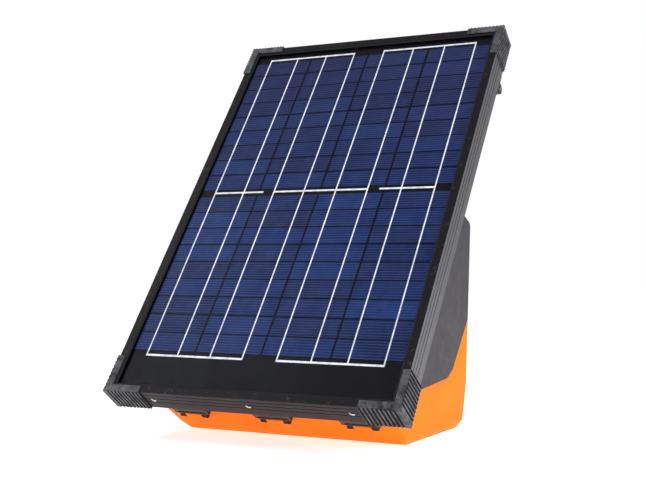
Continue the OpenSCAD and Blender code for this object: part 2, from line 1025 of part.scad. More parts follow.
// How far the lead's ends reach into the junction box and stand off the sheets it passes
lead_in = 3;
lead_off = 8;
plug_rise = 24;
socket_wall = 3;
socket_down = 16;

module at_plug() {
    at_hinge()
        rotate([plug_turn, 0, 0])
            translate([lead_x, -plug_arm, 0])
                children();
}

plug_top = [hinge_y, seam_rear_z] - plug_arm * turn(plug_turn)
    + (plug_in + plug_head) * turn(plug_turn + 90);
function on_lead(p) = [lead_x, p[0], p[1]];
// The middle points are placed by hand, clear of the battery and the electronics cover
panel_lead_points = [
    on_lead(panel_at(box_low + box_wall + lead_in, box_lead_depth)),
    on_lead(panel_at(box_low - lead_off, box_lead_depth)),
    on_lead(panel_at(lead_up, seat_depth - lead_off)),
    on_lead(panel_at(lead_up, seat_depth + grommet_r)),
    on_lead([-75, 165]),
    on_lead([-35, 170]),
    on_lead([5, 200]),
    on_lead(plug_top + plug_rise * turn(plug_turn + 90)),
    on_lead(plug_top)];

module panel_lead() {
    color("black") lead(route(panel_lead_points, 3), lead_r, 10);
}

module lead_grommet() {
    color("black") on_panel()
        translate([lead_x, lead_up, -seat_depth])
            difference() {
                union() {
                    translate([0, 0, -wall])
                        cylinder(r = grommet_r, h = wall);
                    cylinder(r = grommet_r + grommet_flange, h = grommet_flange);
                    translate([0, 0, -wall - grommet_flange])
                        cylinder(r = grommet_r + grommet_flange, h = grommet_flange);
                }
                translate([0, 0, -2 * wall])
                    cylinder(r = lead_r + 1, h = 4 * wall);
            }
}

module panel_plug() {
    color("#202020")
        at_plug()
            union() {
                translate([-plug_size[0] / 2, -plug_size[1] / 2, 0])
                    cube([plug_size[0], plug_size[1], plug_in + plug_head]);
                translate([-plug_size[0] / 2 - plug_lip, -plug_size[1] / 2 - plug_lip, plug_in + past])
                    cube([plug_size[0] + 2 * plug_lip, plug_size[1] + 2 * plug_lip, plug_head - past]);
            }
}

module panel_socket() {
    pocket = plug_size + [2, 2] * plug_gap;
    outer = pocket + [2, 2] * socket_wall;
    color("#303030") difference() {
        at_plug()
            translate([-outer[0] / 2, -outer[1] / 2, -socket_down])
                cube([outer[0], outer[1], socket_down + plug_in]);
        at_plug()
            translate([-pocket[0] / 2, -pocket[1] / 2, 0])
                cube([pocket[0], pocket[1], far]);
        cover_outer();
    }
}

// ---- battery ----

terminal_x = 58;
terminal_y = battery_front + 20;
terminal_base = [10, 8, 1];
tab_w = 6.4;
tab_t = 0.8;
tab_h = 6;
battery_top = wall + battery_h;

module battery() {
    color("#30343a") battery_box(0, battery_top);
}

module battery_terminals() {
    color("goldenrod")
        for (s = [-1, 1])
            translate([s * terminal_x, terminal_y, battery_top]) {
                translate([-terminal_base[0] / 2, -terminal_base[1] / 2, 0])
                    cube(terminal_base);
                translate([-tab_w / 2, -tab_t / 2, terminal_base[2] - sink])
                    cube([tab_w, tab_t, tab_h]);
            }
}

module battery_strap() {
    front = battery_front - drop_gap;
    rear = battery_front + battery_w + drop_gap;
    top = battery_top;
    color("silver") difference() {
        prism([
            [front - strap_t - strap_foot, wall], [front, wall], [front, top], [rear, top],
            [rear, wall], [rear + strap_t + strap_foot, wall],
            [rear + strap_t + strap_foot, wall + strap_t], [rear + strap_t, wall + strap_t],
            [rear + strap_t, top + strap_t], [front - strap_t, top + strap_t],
            [front - strap_t, wall + strap_t], [front - strap_t - strap_foot, wall + strap_t]],
            strap_w);
        for (y = strap_screw_y)
            translate([0, y, 0])
                cylinder(r = screw_r + run_gap, h = 3 * wall);
    }
}

module strap_screws() {
    color("silver")
        for (y = strap_screw_y)
            translate([0, y, wall + strap_t])
                mirror([0, 0, 1])
                    screw(screw_r, screw_head_r, screw_head_h, strap_t + strap_screw_in - drop_gap);
}

battery_lead_r = 2;
battery_grommet_r = 4;
battery_grommet_lip = 1.2;
grommet_x = 22;
grommet_up = cover_low + 62;
// Crimped connector: its walls round the tab, its height over the tab and its crimp's length
crimp_wall = 0.9;
crimp_gap = 0.4;
crimp_over = 0.6;
crimp_l = 4.6;
// Ends of the battery leads outside and inside the electronics cover
grommet_out = 14;
grommet_in = 6;

// [y, z] of a place h up the rear wall and d inside it
function rear_in(h, d) = rear_low + h * turn(90 - rear_lean) - d * turn(-rear_lean);

// [x, y, z] of a place on the rear wall, x across, h up and d inside
function rear_place(x, h, d) = [x, rear_in(h, d)[0], rear_in(h, d)[1]];

// The middle points are placed by hand, above the battery's top
function battery_route(s) = [
    [s * terminal_x, terminal_y + crimp_l, battery_top + 3.5],
    [s * terminal_x, terminal_y + 20, battery_top + 4],
    [s * 52, -5, battery_top + 5],
    [s * 34, 18, battery_top + 5],
    rear_place(s * grommet_x, grommet_up, cover_depth + wall + grommet_out),
    rear_place(s * grommet_x, grommet_up, cover_depth + wall - grommet_in)];

// Lead with its crimped tab connector
module battery_lead(s) {
    lead(route(battery_route(s), 3), battery_lead_r);
    slot_w = tab_w + 2 * crimp_gap;
    slot_t = tab_t + 2 * crimp_gap;
    translate([s * terminal_x, terminal_y, battery_top + terminal_base[2] + crimp_gap / 2])
        difference() {
            translate([-slot_w / 2 - crimp_wall, -slot_t / 2 - 2 * crimp_wall, 0])
                cube([slot_w + 2 * crimp_wall, slot_t / 2 + 2 * crimp_wall + crimp_l,
                    tab_h + crimp_over]);
            translate([-slot_w / 2, -slot_t / 2, -past])
                cube([slot_w, slot_t, tab_h + past + crimp_gap / 2]);
        }
}

module battery_lead_red() {
    color("red") battery_lead(1);
}

module battery_lead_black() {
    color("black") battery_lead(-1);
}

module battery_grommets() {
    color("black")
        for (s = [-1, 1])
            on_rear(s * grommet_x, grommet_up)
                translate([0, 0, -wall - cover_depth])
                    difference() {
                        union() {
                            cylinder(r = battery_grommet_r, h = cover_wall);
                            translate([0, 0, -battery_grommet_lip])
                                cylinder(r = battery_grommet_r + battery_grommet_lip,
                                    h = battery_grommet_lip);
                        }
                        translate([0, 0, -battery_grommet_lip - past])
                            cylinder(r = battery_lead_r + 2 * drop_gap,
                                h = battery_grommet_lip + cover_wall + 2 * past);
                    }
}

// ---- electronics ----

module circuit_board() {
    color("darkgreen") difference() {
        on_rear(0, board_up + board_h)
            translate([-board_w / 2, 0, board_back])
                cube([board_w, board_h, board_t]);
        at_board_holes()
            translate([0, 0, board_back - past])
                cylinder(r = board_screw_r + run_gap, h = board_t + 2 * past);
    }
}

module board_screws() {
    color("silver")
        at_board_holes()
            translate([0, 0, board_back])
                screw(board_screw_r, board_head_r, board_head_h, board_t + board_screw_in);
}

core_w = 56;
core_h = 46;
core_t = 26;
leg_w = 18;
core_yoke = 8;
core_x = -50;
core_up = board_up + 30;
winding_t = 8;
winding_room = 10;

module at_core() {
    on_rear(core_x, core_up)
        translate([0, 0, board_back - winding_t - core_t])
            children();
}

module transformer_core() {
    color("#4a4a4e") at_core()
        difference() {
            translate([-core_w / 2, -core_h / 2, 0])
                cube([core_w, core_h, core_t]);
            for (s = [-1, 1])
                translate([s * (leg_w + winding_room) / 2 - winding_room / 2, core_yoke - core_h / 2,
                    -past])
                    cube([winding_room, core_h - 2 * core_yoke, core_t + 2 * past]);
        }
}

module transformer_winding() {
    outer = leg_w + 2 * winding_room - 2 * drop_gap;
    tall = core_h - 2 * core_yoke - 2 * drop_gap;
    color("#b5652b") at_core()
        difference() {
            translate([-outer / 2, -tall / 2, -winding_t])
                cube([outer, tall, core_t + 2 * winding_t]);
            translate([-leg_w / 2 - drop_gap / 2, -tall, -drop_gap / 2])
                cube([leg_w + drop_gap, 2 * tall, core_t + drop_gap]);
        }
}

capacitor_r = 11;
capacitor_l = 40;
capacitor_x = 20;
capacitor_pitch = 26;

module storage_capacitors() {
    color("#27406b")
        for (i = [0:2])
            on_rear(capacitor_x + i * capacitor_pitch, core_up)
                translate([0, 0, board_back - capacitor_l])
                    cylinder(r = capacitor_r, h = capacitor_l);
}

switch_w = 20;
switch_t = 14;

module rotary_switch() {
    color("#222226") on_rear(0, knob_up)
        translate([-switch_w / 2, -switch_w / 2, board_face])
            cube([switch_w, switch_w, switch_t]);
}

knob_gap = 1;
knob_disc_h = 5;
knob_bar_w = 8;
knob_bar_in = 1;
shaft_out = 12;

module switch_shaft() {
    color("silver") on_rear(0, knob_up)
        translate([0, 0, board_face + switch_t])
            cylinder(r = shaft_r, h = board_gap + wall - switch_t + shaft_out);
}

module power_knob() {
    color("#1a1a1e") on_rear(0, knob_up)
        difference() {
            union() {
                translate([0, 0, knob_gap])
                    cylinder(r = knob_r, h = knob_disc_h);
                translate([-knob_bar_w / 2, knob_bar_in - knob_r, knob_gap])
                    cube([knob_bar_w, 2 * (knob_r - knob_bar_in), knob_h]);
            }
            cylinder(r = shaft_r + run_gap, h = shaft_out);
        }
}

module status_lamps() {
    color("limegreen")
        for (i = [-1.5:1:1.5])
            on_rear(i * lamp_pitch, lamp_up)
                translate([0, 0, board_face]) {
                    cylinder(r = lamp_r, h = board_gap - lamp_r);
                    translate([0, 0, board_gap - lamp_r])
                        sphere(r = lamp_r);
                }
}

module lamp_window() {
    color("lightgray", 0.6) on_rear(0, lamp_up) {
        translate([-window_w / 2 - window_rim, -window_h / 2 - window_rim, 0])
            cube([window_w + 2 * window_rim, window_h + 2 * window_rim, window_t]);
        translate([-window_w / 2 + drop_gap, -window_h / 2 + drop_gap, -wall + past])
            cube([window_w - 2 * drop_gap, window_h - 2 * drop_gap, wall]);
    }
}

module cover_outer() {
    on_rear(0, cover_high)
        translate([-cover_w / 2, 0, -wall - cover_depth])
            cube([cover_w, cover_high - cover_low, cover_depth]);
}

module electronics_cover() {
    color("#3a3a40") difference() {
        union() {
            cover_outer();
            at_cover_holes()
                translate([-cover_lug / 2, -cover_lug / 2, -wall - cover_boss_l - cover_lug_t])
                    cube([cover_lug, cover_lug, cover_lug_t]);
        }
        on_rear(0, cover_high - cover_wall)
            translate([-cover_w / 2 + cover_wall, 0, -wall - cover_depth + cover_wall])
                cube([cover_w - 2 * cover_wall, cover_high - cover_low - 2 * cover_wall, far]);
        at_cover_holes()
            translate([0, 0, -2 * wall - cover_boss_l])
                cylinder(r = board_screw_r + run_gap, h = 2 * wall);
        for (s = [-1, 1])
            on_rear(s * grommet_x, grommet_up)
                translate([0, 0, -wall - cover_depth - past])
                    cylinder(r = battery_grommet_r + run_gap, h = cover_wall + 2 * past);
    }
}

module cover_screws() {
    color("silver")
        at_cover_holes()
            translate([0, 0, -wall - cover_boss_l - cover_lug_t])
                screw(board_screw_r, board_head_r, board_head_h, cover_lug_t + cover_screw_in);
}

// ---- output terminals ----

module terminal_studs() {
    color("goldenrod")
        at_studs()
            translate([0, 0, -wall - stud_in])
                cylinder(r = stud_r, h = wall + stud_in + collar_h + 2 * washer_t + stud_out);
}

module terminal_nuts() {
    color("goldenrod")
        at_studs()
            translate([0, 0, -wall - stud_nut_h])
                nut(stud_nut_corners, stud_nut_h, stud_r + run_gap);
}

module terminal_washers() {
    color("silver")
        at_studs()
            for (i = [0, 1])
                translate([0, 0, collar_h + i * washer_t])
                    difference() {
                        cylinder(r = washer_r, h = washer_t);
                        translate([0, 0, -past])
                            cylinder(r = stud_r + run_gap, h = washer_t + 2 * past);
                    }
}

lobes = 6;
lobe_r = 3;
lobe_in = 2;

// Lobed hand knob on the stud at side s
module terminal_knob(s) {
    on_rear(s * stud_pitch / 2, stud_up)
        translate([0, 0, collar_h + 2 * washer_t])
            difference() {
                union() {
                    cylinder(r = terminal_knob_r - lobe_in, h = knob_h);
                    for (i = [0:lobes - 1])
                        rotate([0, 0, i * 360 / lobes])
                            translate([terminal_knob_r - lobe_r, 0, lobe_in])
                                cylinder(r = lobe_r, h = knob_h - 2 * lobe_in, $fn = 24);
                }
                translate([0, 0, -past])
                    cylinder(r = stud_r + run_gap, h = stud_out + 2 * past);
            }
}

module fence_knob() {
    color("red") terminal_knob(-1);
}

module earth_knob() {
    color("green") terminal_knob(1);
}

output_lead_r = 1.5;

// The lower points are placed by hand, between the wall and the board
function output_route(s) = [
    rear_place(s * stud_pitch / 2, stud_up - stud_r - output_lead_r - drop_gap, wall + 7.5),
    rear_place(s * stud_pitch / 2, stud_up - 14, wall + 8),
    rear_place(s * stud_pitch / 2 - s * 12, board_up + 14, wall + 12),
    rear_place(s * stud_pitch / 2 - s * 20, board_up + 12, wall + board_gap - 1)];

module output_leads() {
    color("#8a1f1f")
        for (s = [-1, 1])
            lead(route(output_route(s), 3), output_lead_r);
}

// ---- carry handle ----

arm_t = 6;
arm_r = 6.5;
handle_up = cap_l - handle_down;
pivot_r = 2.5;
ear_t = 5;
ear_r = 8;
arm_out = frame_w / 2 - ear_t - move_gap;
bracket_t = 2;
bracket_h = 40;
bracket_screw_pitch = 30;
bracket_screw_in = 4;
bracket_screw_up = [handle_up - bracket_screw_pitch / 2, handle_up + bracket_screw_pitch / 2];
bracket_screw_x = arm_out - arm_t - bracket_screw_in;
bracket_head_r = 3.5;
bracket_head_h = 2;
handle_depth = frame_back + bracket_t + move_gap + arm_r;

module at_pivot() {
    on_panel()
        translate([0, handle_up, -handle_depth])
            children();
}

module carry_handle() {
    color("#a8a8ac") at_pivot()
        difference() {
            union() {
                for (s = [-1, 1])
                    translate([s * (arm_out - arm_t / 2), 0, 0]) {
                        rod_x(-arm_t / 2, arm_t / 2, arm_r);
                        block([-arm_t / 2, 0, -arm_r], [arm_t / 2, handle_reach, arm_r]);
                        translate([0, handle_reach, 0])
                            rod_x(-arm_t / 2, arm_t / 2, arm_r);
                    }
                translate([0, handle_reach, 0])
                    rod_x(arm_t / 2 - arm_out, arm_out - arm_t / 2, grip_r);
            }
            rod_x(-far / 2, far / 2, pivot_r + run_gap);
        }
}

module handle_brackets() {
    inner = arm_out - arm_t - move_gap - ear_t;
    color("#1c1c20")
        for (s = [-1, 1])
            mirror([s > 0 ? 0 : 1, 0, 0])
                difference() {
                    union() {
                        on_panel()
                            slab(inner, frame_w / 2, handle_up - bracket_h / 2,
                                handle_up + bracket_h / 2, frame_back, frame_back + bracket_t);
                        for (x = [inner, arm_out + move_gap])
                            at_pivot() {
                                rod_x(x, x + ear_t, ear_r);
                                block([x, -ear_r, 0], [x + ear_t, ear_r, arm_r + move_gap + past]);
                            }
                    }
                    at_pivot()
                        rod_x(0, far, pivot_r + run_gap);
                    on_panel()
                        for (up = bracket_screw_up)
                            translate([bracket_screw_x, up, -frame_back - bracket_t - past])
                                cylinder(r = screw_r + run_gap, h = bracket_t + 2 * past);
                }
}

// Pivot pins of the handle and the screws of its brackets
module handle_pivots() {
    color("silver") {
        for (s = [-1, 1])
            mirror([s > 0 ? 0 : 1, 0, 0])
                at_pivot()
                    rod_x(arm_out - arm_t - move_gap - ear_t, frame_w / 2, pivot_r);
        on_panel()
            for (x = [-1, 1] * bracket_screw_x, up = bracket_screw_up)
                translate([x, up, -frame_back - bracket_t])
                    screw(screw_r, bracket_head_r, bracket_head_h,
                        bracket_t + flange_t + bracket_screw_in);
    }
}

base_shell();
lid_shell();
lid_gasket();
hinge_pins();
latch(-latch_pitch);  // latch_left
latch(0);  // latch_centre
latch(latch_pitch);  // latch_right
latch_pins();
frame_top();
frame_bottom();
frame_left();
frame_right();
corner_keys();
cap_top_left();
cap_top_right();
cap_bottom_left();
cap_bottom_right();
panel_glass();
cell_ribbons();
solar_cells();
backsheet();
junction_box();
junction_box_lid();
mounting_bars();
bar_screws();
housing_screws();
bar_nuts();
lead_grommet();
panel_lead();
panel_plug();
panel_socket();
battery();
battery_terminals();
battery_strap();
strap_screws();
battery_lead_red();
battery_lead_black();
battery_grommets();
circuit_board();
board_screws();
transformer_core();
transformer_winding();
storage_capacitors();
rotary_switch();
switch_shaft();
power_knob();
status_lamps();
lamp_window();
electronics_cover();
cover_screws();
terminal_studs();
terminal_nuts();
terminal_washers();
fence_knob();
earth_knob();
output_leads();
carry_handle();
handle_brackets();
handle_pivots();
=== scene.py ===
"""Portable solar fence energizer: finishes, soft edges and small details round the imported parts."""
import json
import math

import bmesh
import bpy
from mathutils import Matrix, Vector


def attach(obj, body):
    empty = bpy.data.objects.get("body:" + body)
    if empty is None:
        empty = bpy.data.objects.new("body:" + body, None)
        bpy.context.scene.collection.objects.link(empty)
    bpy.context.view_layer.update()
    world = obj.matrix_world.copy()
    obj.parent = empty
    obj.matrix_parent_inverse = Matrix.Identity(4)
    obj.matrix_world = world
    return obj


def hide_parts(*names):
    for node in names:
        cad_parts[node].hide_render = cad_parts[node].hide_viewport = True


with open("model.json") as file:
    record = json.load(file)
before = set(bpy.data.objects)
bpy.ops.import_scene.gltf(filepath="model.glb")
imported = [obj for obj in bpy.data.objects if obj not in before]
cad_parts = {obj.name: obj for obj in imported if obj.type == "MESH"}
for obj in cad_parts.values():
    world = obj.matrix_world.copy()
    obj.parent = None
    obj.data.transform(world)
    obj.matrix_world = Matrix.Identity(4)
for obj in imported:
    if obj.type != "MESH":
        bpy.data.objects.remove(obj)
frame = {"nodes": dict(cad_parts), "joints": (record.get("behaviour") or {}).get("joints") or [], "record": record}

MM = 0.001
NODES = frame["nodes"]
JOINTS = {joint["name"]: joint for joint in frame["joints"]}
MOUNTS = {mount["name"]: mount for mount in frame["record"]["mounts"]}
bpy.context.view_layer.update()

# ---- places taken from the frame ----

# The panel's own axes: X across, Y up the slope, Z out of the glass, from the lower front edge
hole_axis = MOUNTS["frame_hole_centre"]["axis"]
TILT = math.atan2(-hole_axis[2], -hole_axis[1])
lower_edge = min(NODES["cap_bottom_left"].data.vertices, key=lambda v: v.co.y).co
PANEL = Matrix.Translation((0, lower_edge.y, lower_edge.z)) @ Matrix.Rotation(TILT, 4, "X")

# The rear wall's own axes at a joint on it: Z straight out of the wall
knob_joint = JOINTS["power_knob_turn"]
REAR_LEAN = math.atan2(-knob_joint["axis"][2], knob_joint["axis"][1])


def on_rear(joint_name):
    """Axes at a joint of the rear wall: X to the left as seen from behind, Y down, Z outwards."""
    place = Matrix.Translation(JOINTS[joint_name]["pos_m"])
    return place @ Matrix.Rotation(-math.pi / 2 - REAR_LEAN, 4, "X")


# ---- colour and node helpers ----


def colour(code):
    """Linear RGBA from an sRGB hex value."""
    parts = [int(code[i:i + 2], 16) / 255 for i in (1, 3, 5)]
    return [c / 12.92 if c <= 0.04045 else ((c + 0.055) / 1.055) ** 2.4 for c in parts] + [1.0]


def per_metre(size_mm):
    """Texture scale at which one feature of a noise or Voronoi pattern is about size_mm across."""
    return 1000 / size_mm


def add(tree, kind, inputs=None, **settings):
    """Adds a node with its settings; inputs maps sockets to values or to the sockets that feed them."""
    node = tree.nodes.new(kind)
    for key, value in settings.items():
        setattr(node, key, value)
    for key, value in (inputs or {}).items():
        if isinstance(value, bpy.types.NodeSocket):
            tree.links.new(value, node.inputs[key])
        else:
            node.inputs[key].default_value = value
    return node


def start_material(name):
    """New node material: its tree, emptied but for the output, and the output node."""
    material = bpy.data.materials.new(name)
    material.use_nodes = True
    material.node_tree.nodes.clear()
    return material, material.node_tree, add(material.node_tree, "ShaderNodeOutputMaterial")


def ramp(tree, fac, stops):
    """Colour ramp from (position, hex) stops, fed by fac; gives its colour socket."""
    node = add(tree, "ShaderNodeValToRGB", {"Fac": fac})
    while len(node.color_ramp.elements) < len(stops):
        node.color_ramp.elements.new(0.5)
    for element, (position, code) in zip(node.color_ramp.elements, stops):
        element.position = position
        element.color = colour(code)
    return node.outputs["Color"]


def spread(tree, fac, low, high):
    """Maps a texture's middle range onto low to high."""
    node = add(tree, "ShaderNodeMapRange", {
        "Value": fac, "From Min": 0.3, "From Max": 0.7, "To Min": low, "To Max": high})
    return node.outputs["Result"]


# ---- finishes ----


def moulded_plastic(name, body, shade, rough, grain_mm, grain_depth_mm, sheen=0.5, cast="#ffffff"):
    """Injection-moulded plastic: the tool's spark-eroded grain breaks up the shine, and the colour
    drifts a little from shade to body where the plastic flowed and where hands and dust have been."""
    material, tree, out = start_material(name)
    place = add(tree, "ShaderNodeTexCoord").outputs["Object"]
    flow = add(tree, "ShaderNodeTexNoise", {
        "Vector": place, "Scale": per_metre(70), "Detail": 3.0, "Roughness": 0.6})
    tint = ramp(tree, flow.outputs["Fac"], [(0.35, shade), (0.6, body)])
    smear = add(tree, "ShaderNodeTexNoise", {
        "Vector": place, "Scale": per_metre(18), "Detail": 4.0, "Roughness": 0.65})
    shader = add(tree, "ShaderNodeBsdfPrincipled", {
        "Base Color": tint, "Roughness": spread(tree, smear.outputs["Fac"], rough - 0.06, rough + 0.08),
        "Specular IOR Level": sheen, "Specular Tint": colour(cast), "IOR": 1.49})
    if grain_depth_mm > 0:
        grain = add(tree, "ShaderNodeTexNoise", {
            "Vector": place, "Scale": per_metre(grain_mm), "Detail": 2.0, "Roughness": 0.5})
        bump = add(tree, "ShaderNodeBump", {
            "Height": grain.outputs["Fac"], "Strength": 0.35, "Distance": grain_depth_mm * MM})
        tree.links.new(bump.outputs["Normal"], shader.inputs["Normal"])
    tree.links.new(shader.outputs["BSDF"], out.inputs["Surface"])
    return material


def anodised_aluminium(name, body, worn):
    """Black anodised extrusion: a satin skin with fine draw lines along the die's direction, and
    small pale rubs where the dye has worn."""
    material, tree, out = start_material(name)
    place = add(tree, "ShaderNodeTexCoord").outputs["Object"]
    upright = add(tree, "ShaderNodeMapping", {
        "Vector": place, "Rotation": (-TILT, 0, 0)}).outputs["Vector"]
    stretched = add(tree, "ShaderNodeMapping", {
        "Vector": upright, "Scale": (1.0, 0.02, 1.0)}).outputs["Vector"]
    lines = add(tree, "ShaderNodeTexNoise", {
        "Vector": stretched, "Scale": per_metre(0.9), "Detail": 2.0, "Roughness": 0.6})
    rubs = add(tree, "ShaderNodeTexNoise", {
        "Vector": place, "Scale": per_metre(9), "Detail": 6.0, "Roughness": 0.75})
    tint = ramp(tree, rubs.outputs["Fac"], [(0.56, body), (0.78, worn)])
    bump = add(tree, "ShaderNodeBump", {
        "Height": lines.outputs["Fac"], "Strength": 0.12, "Distance": 0.05 * MM})
    shader = add(tree, "ShaderNodeBsdfPrincipled", {
        "Base Color": tint, "Metallic": 0.75, "Normal": bump.outputs["Normal"],
        "Roughness": spread(tree, lines.outputs["Fac"], 0.38, 0.5)})
    tree.links.new(shader.outputs["BSDF"], out.inputs["Surface"])
    return material


def drawn_metal(name, bright, dull, rough, line_mm, metallic=1.0):
    """Plated or bare metal: a fine mottled shine with scattered dull spots from handling."""
    material, tree, out = start_material(name)
    place = add(tree, "ShaderNodeTexCoord").outputs["Object"]
    mottle = add(tree, "ShaderNodeTexNoise", {
        "Vector": place, "Scale": per_metre(line_mm), "Detail": 4.0, "Roughness": 0.6})
    tint = ramp(tree, mottle.outputs["Fac"], [(0.35, dull), (0.6, bright)])
    shader = add(tree, "ShaderNodeBsdfPrincipled", {
        "Base Color": tint, "Metallic": metallic,
        "Roughness": spread(tree, mottle.outputs["Fac"], rough + 0.1, rough - 0.05)})
    tree.links.new(shader.outputs["BSDF"], out.inputs["Surface"])
    return material


def scuffed_rubber(name, body, scuff):
    """Hard rubber corner guard: dark and dull, with a pale bloom and short scratches where it has
    been set down and dragged."""
    material, tree, out = start_material(name)
    place = add(tree, "ShaderNodeTexCoord").outputs["Object"]
    bloom = add(tree, "ShaderNodeTexNoise", {
        "Vector": place, "Scale": per_metre(14), "Detail": 5.0, "Roughness": 0.7})
    dragged = add(tree, "ShaderNodeMapping", {
        "Vector": place, "Rotation": (0.4, 0.3, 0.7), "Scale": (1.0, 0.18, 1.0)}).outputs["Vector"]
    scratches = add(tree, "ShaderNodeTexNoise", {
        "Vector": dragged, "Scale": per_metre(2.2), "Detail": 6.0, "Roughness": 0.8})
    base = ramp(tree, bloom.outputs["Fac"], [(0.35, body), (0.75, scuff)])
    marks = add(tree, "ShaderNodeMapRange", {
        "Value": scratches.outputs["Fac"], "From Min": 0.6, "From Max": 0.72, "To Max": 0.55})
    tint = add(tree, "ShaderNodeMix", {
        "Factor": marks.outputs["Result"], "A": base, "B": colour(scuff)},
        data_type="RGBA")
    bump = add(tree, "ShaderNodeBump", {
        "Height": scratches.outputs["Fac"], "Strength": 0.5, "Distance": 0.15 * MM})
    shader = add(tree, "ShaderNodeBsdfPrincipled", {
        "Base Color": tint.outputs[2], "Roughness": 0.62, "Specular IOR Level": 0.35,
        "Normal": bump.outputs["Normal"]})
    tree.links.new(shader.outputs["BSDF"], out.inputs["Surface"])
    return material


def panel_place(tree):
    """Vector in the panel's own axes, in metres, from object coordinates."""
    place = add(tree, "ShaderNodeTexCoord").outputs["Object"]
    offset = -(PANEL.to_3x3().inverted() @ PANEL.translation)
    return add(tree, "ShaderNodeMapping", {
        "Vector": place, "Rotation": (-TILT, 0, 0), "Location": offset}).outputs["Vector"]


CELL_PITCH = Vector((106, 32, 1000)) * MM
CELL_LOW = 74.8 * MM
HALF_GAP = 12.3 * MM
CELL_MIDDLE = Vector((53, 15.6, 0)) * MM
CELL_HALF = Vector((52, 15.6, 0)) * MM
HALF_UP = CELL_LOW + 9 * CELL_PITCH.y + HALF_GAP / 2


def silicon_cells(name):
    """Polycrystalline silicon under its blue nitride coat: each wafer has its own blue or violet
    cast, a painted reflection of the surroundings turns the colour violet grey up the panel, and
    there are faint crystal patches, rows of thin printed fingers drawn at twice their real pitch,
    and a dark bare rim where the edge was cut free."""
    material, tree, out = start_material(name)
    place = panel_place(tree)
    parts = add(tree, "ShaderNodeSeparateXYZ", {"Vector": place})
    upper = add(tree, "ShaderNodeMath", {0: parts.outputs["Y"], 1: HALF_UP}, operation="GREATER_THAN")
    shift = add(tree, "ShaderNodeMath", {0: upper.outputs[0], 1: HALF_GAP}, operation="MULTIPLY")
    level = add(tree, "ShaderNodeMath", {
        0: parts.outputs["Y"], 1: shift.outputs[0]}, operation="SUBTRACT")
    joined = add(tree, "ShaderNodeCombineXYZ", {"X": parts.outputs["X"], "Y": level.outputs[0]})
    moved = add(tree, "ShaderNodeVectorMath", {
        0: joined.outputs["Vector"], 1: (-2 * CELL_PITCH.x, CELL_LOW, -CELL_PITCH.z / 2)},
        operation="SUBTRACT")
    counted = add(tree, "ShaderNodeVectorMath", {
        0: moved.outputs["Vector"], 1: CELL_PITCH}, operation="DIVIDE")
    index = add(tree, "ShaderNodeVectorMath", {0: counted.outputs["Vector"]}, operation="FLOOR")
    chance = add(tree, "ShaderNodeTexWhiteNoise", {"Vector": index.outputs["Vector"]},
        noise_dimensions="3D")
    cast = ramp(tree, chance.outputs["Value"], [
        (0.0, "#071231"), (0.22, "#10265e"), (0.4, "#0b1539"), (0.55, "#171f4b"),
        (0.72, "#15346a"), (0.86, "#0e204b"), (1.0, "#1b1736")])
    patches = add(tree, "ShaderNodeTexVoronoi", {"Vector": place, "Scale": per_metre(11)})
    patch_tone = ramp(tree, patches.outputs["Color"], [(0.2, "#0c1a42"), (0.8, "#243a70")])
    grown = add(tree, "ShaderNodeMix", {
        "Factor": 0.22, "A": cast, "B": patch_tone}, data_type="RGBA")
    clouds = add(tree, "ShaderNodeTexNoise", {
        "Vector": place, "Scale": per_metre(30), "Detail": 6.0, "Roughness": 0.75})
    cloud_tone = ramp(tree, clouds.outputs["Fac"], [(0.4, "#061236"), (0.64, "#2a3d74")])
    mottled = add(tree, "ShaderNodeMix", {
        "Factor": 0.28, "A": grown.outputs[2], "B": cloud_tone}, data_type="RGBA")
    # Painted reflection: towards the top of the panel the colour fades to a violet grey, standing for the
    # surroundings seen in the glass
    painted_reflection_rise = add(tree, "ShaderNodeMapRange", {
        "Value": parts.outputs["Y"], "From Min": 0.3, "From Max": 0.75, "To Max": 0.6})
    toned = add(tree, "ShaderNodeMix", {
        "Factor": painted_reflection_rise.outputs["Result"], "A": mottled.outputs[2], "B": colour("#2a263e")},
        data_type="RGBA")
    finger_pitch = 4.4 * MM
    wave = add(tree, "ShaderNodeTexWave", {
        "Vector": place, "Scale": math.pi / 10 / finger_pitch, "Distortion": 0.0},
        wave_type="BANDS", bands_direction="Y", wave_profile="SIN")
    line = add(tree, "ShaderNodeMapRange", {
        "Value": wave.outputs["Fac"], "From Min": 0.6, "From Max": 1.0, "To Max": 0.6})
    printed = add(tree, "ShaderNodeMix", {
        "Factor": line.outputs["Result"], "A": toned.outputs[2], "B": colour("#3c4b80")},
        data_type="RGBA")
    part = add(tree, "ShaderNodeVectorMath", {0: counted.outputs["Vector"]}, operation="FRACTION")
    local = add(tree, "ShaderNodeVectorMath", {
        0: part.outputs["Vector"], 1: CELL_PITCH}, operation="MULTIPLY")
    centred = add(tree, "ShaderNodeVectorMath", {
        0: local.outputs["Vector"], 1: CELL_MIDDLE}, operation="SUBTRACT")
    away = add(tree, "ShaderNodeVectorMath", {0: centred.outputs["Vector"]}, operation="ABSOLUTE")
    left = add(tree, "ShaderNodeVectorMath", {
        0: CELL_HALF, 1: away.outputs["Vector"]}, operation="SUBTRACT")
    both = add(tree, "ShaderNodeSeparateXYZ", {"Vector": left.outputs["Vector"]})
    rim = add(tree, "ShaderNodeMath", {
        0: both.outputs["X"], 1: both.outputs["Y"]}, operation="MINIMUM")
    inner = add(tree, "ShaderNodeMapRange", {
        "Value": rim.outputs[0], "From Min": 0.3 * MM, "From Max": 1.1 * MM})
    tint = add(tree, "ShaderNodeMix", {
        "Factor": inner.outputs["Result"], "A": colour("#05060c"), "B": printed.outputs[2]},
        data_type="RGBA")
    shader = add(tree, "ShaderNodeBsdfPrincipled", {
        "Base Color": tint.outputs[2], "Roughness": 0.34, "Specular IOR Level": 0.14})
    tree.links.new(shader.outputs["BSDF"], out.inputs["Surface"])
    return material


